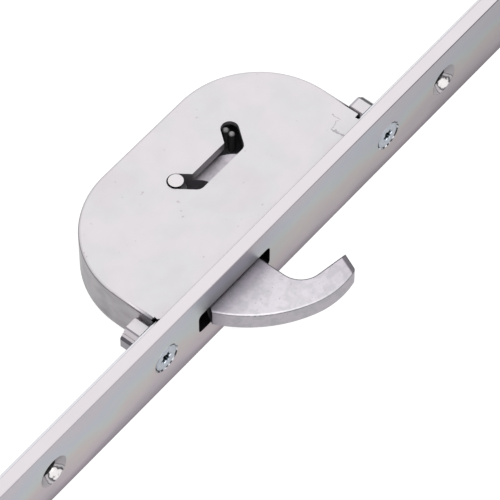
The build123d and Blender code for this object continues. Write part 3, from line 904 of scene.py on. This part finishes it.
@dataclass
class Mechanism:
    """What moves inside the case: the hook, its bearing, the guide pin and the slider."""

    def build(self) -> None:
        """Dress the mechanism's pieces."""
        dress("hook_bolt", CAST_STEEL)
        dress("hook_bush", SINTERED_BRONZE)
        dress("guide_pin", TURNED_STEEL)
        for node in ("stop_pin_1", "stop_pin_2"):
            dress(node, BLASTED_STEEL)
        dress("drive_slider", PLATED_SHEET)
        for node in ("hook_pivot", "pivot_washer_upper", "pivot_washer_lower", "guide_pin_clip"):
            dress(node, OILED_AND_SHADED_STEEL)


@dataclass(frozen=True)
class Softbox:
    """A square lamp that faces the lock.

    Attributes:
        name: the lamp's name.
        direction: where it stands, as seen from the lock.
        size: length of its side.
        power: its power in watts.
        distance: how far it stands from the lock.
    """

    name: str
    direction: tuple[float, float, float]
    size: float
    power: float
    distance: float = 1.0

    def build(self) -> None:
        """Hang the lamp."""
        light = bpy.data.lights.new(self.name, "AREA")
        light.shape = "SQUARE"
        light.size = self.size
        light.energy = self.power
        lamp = bpy.data.objects.new(self.name, light)
        direction = Vector(self.direction).normalized()
        lamp.location = direction * self.distance
        lamp.rotation_mode = "QUATERNION"
        lamp.rotation_quaternion = direction.to_track_quat("Z", "Y")
        bpy.context.scene.collection.objects.link(lamp)


@dataclass
class Studio:
    """The pale floor, the soft light and the camera.

    Attributes:
        azimuth: the camera's bearing round the lock, in degrees.
        elevation: the camera's height above the lock, in degrees.
        distance: from the frame's origin to the camera's plane.
        offset: how far the view's middle lies right of and above the origin.
        pixels_per_metre: size of the picture at the origin.
        picture_pixels: width and height of the picture.
        floor_size: side of the floor's square.
        floor_glow: how brightly the floor shines for the camera and for metal.
        floor_colour: sRGB colour of the floor where it catches a shadow.
        dome_low: brightness of the tent's foot, as metal mirrors it.
        dome_high: brightness of the tent overhead.
        ambient: brightness of the tent for matt surfaces.
        softboxes: the lamps.
    """

    azimuth: float = -50.735
    elevation: float = 54.831
    distance: float = 0.8041
    offset: tuple[float, float] = (-6.545 * MM, -1.208 * MM)
    pixels_per_metre: float = 4569.0
    picture_pixels: float = 500.0
    floor_size: float = 6.0
    floor_glow: float = 0.88
    floor_colour: str = "#989898"
    dome_low: float = 1.0
    dome_high: float = 2.0
    ambient: float = 0.6
    softboxes: tuple[Softbox, ...] = (
        Softbox("overhead", (0.446, 0.3645, 0.8175), 0.7, 0.8), Softbox("fill", (-0.4, -0.42, 0.82), 0.4, 2.4),
    )

    def build(self) -> None:
        """Set up the floor, the light and the camera."""
        self.add_world()
        self.add_floor()
        for softbox in self.softboxes:
            softbox.build()
        self.add_camera()
        bpy.context.scene.view_settings.view_transform = "Standard"

    def seen_ray(self, tree: bpy.types.NodeTree) -> bpy.types.NodeSocket:
        """One for camera, glossy and transmission rays, so that metal shows the white backdrop too."""
        path = add_node(tree, "ShaderNodeLightPath").outputs
        mirrored = add_node(
            tree, "ShaderNodeMath", {"operation": "MAXIMUM"},
            {0: path["Is Glossy Ray"], 1: path["Is Transmission Ray"]},
        )
        seen = add_node(
            tree, "ShaderNodeMath", {"operation": "MAXIMUM"}, {0: path["Is Camera Ray"], 1: mirrored.outputs[0]}
        )
        return seen.outputs[0]

    def add_world(self) -> None:
        """A white tent, brighter overhead than at its foot, which reads as plain white in the picture."""
        world = bpy.data.worlds.new("studio")
        world.use_nodes = True
        tree = world.node_tree
        path = add_node(tree, "ShaderNodeLightPath").outputs
        direction = add_node(tree, "ShaderNodeTexCoord").outputs["Generated"]
        height = add_node(tree, "ShaderNodeSeparateXYZ", None, {0: direction}).outputs["Z"]
        dome = remap(tree, height, (-0.05, 0.3), (self.dome_low, self.dome_high))
        mirrored = maths(tree, "MULTIPLY", path["Is Glossy Ray"], maths(tree, "SUBTRACT", dome, self.ambient))
        seen = maths(tree, "MULTIPLY", path["Is Camera Ray"], 1.0 - self.ambient)
        strength = maths(tree, "ADD", maths(tree, "ADD", mirrored, seen), self.ambient)
        tree.links.new(strength, tree.nodes["Background"].inputs["Strength"])
        tree.nodes["Background"].inputs["Color"].default_value = linear("#FFFFFF")
        bpy.context.scene.world = world

    def add_floor(self) -> None:
        """A white sheet under the lock, which keeps a faint shadow."""
        half = self.floor_size / 2
        level = CAD_BOX[0].z
        mesh = bpy.data.meshes.new("floor")
        corners = [(x, y, level) for x, y in ((-half, -half), (half, -half), (half, half), (-half, half))]
        mesh.from_pydata(corners, [], [(0, 1, 2, 3)])
        floor = bpy.data.objects.new("floor", mesh)
        bpy.context.scene.collection.objects.link(floor)
        paper = bpy.data.materials.new("white_paper")
        paper.use_nodes = True
        tree = paper.node_tree
        tree.nodes.remove(tree.nodes["Principled BSDF"])
        matt = add_node(tree, "ShaderNodeBsdfDiffuse", None, {"Color": linear(self.floor_colour)})
        glow_strength = add_node(
            tree, "ShaderNodeMath", {"operation": "MULTIPLY"}, {0: self.seen_ray(tree), 1: self.floor_glow}
        )
        glow = add_node(
            tree, "ShaderNodeEmission", None,
            {"Color": linear("#FFFFFF"), "Strength": glow_strength.outputs[0]},
        )
        both = add_node(tree, "ShaderNodeAddShader", None, {0: matt.outputs[0], 1: glow.outputs[0]})
        tree.links.new(both.outputs[0], tree.nodes["Material Output"].inputs["Surface"])
        mesh.materials.append(paper)

    def add_camera(self) -> None:
        """The camera, at the photograph's angle and framing."""
        turn, rise = math.radians(self.azimuth), math.radians(self.elevation)
        back = Vector((math.sin(turn) * math.cos(rise), -math.cos(turn) * math.cos(rise), math.sin(rise)))
        right = Vector((math.cos(turn), math.sin(turn), 0))
        up = back.cross(right)
        data = bpy.data.cameras.new("camera")
        data.sensor_width = 36.0
        data.lens = data.sensor_width * self.pixels_per_metre * self.distance / self.picture_pixels
        data.clip_start = self.distance / 100
        camera = bpy.data.objects.new("camera", data)
        camera.location = back * self.distance + right * self.offset[0] + up * self.offset[1]
        camera.rotation_mode = "QUATERNION"
        camera.rotation_quaternion = back.to_track_quat("Z", "Y")
        bpy.context.scene.collection.objects.link(camera)
        bpy.context.scene.camera = camera


def main() -> None:
    """Build the lock's sub-assemblies in order, then the studio round them."""
    logging.basicConfig(level=logging.INFO, format="%(name)s: %(message)s")
    for assembly in (Strip(), Case(), Mechanism(), Studio()):
        assembly.build()
        LOG.info("built %s", type(assembly).__name__)


if __name__ == "__main__":
    main()
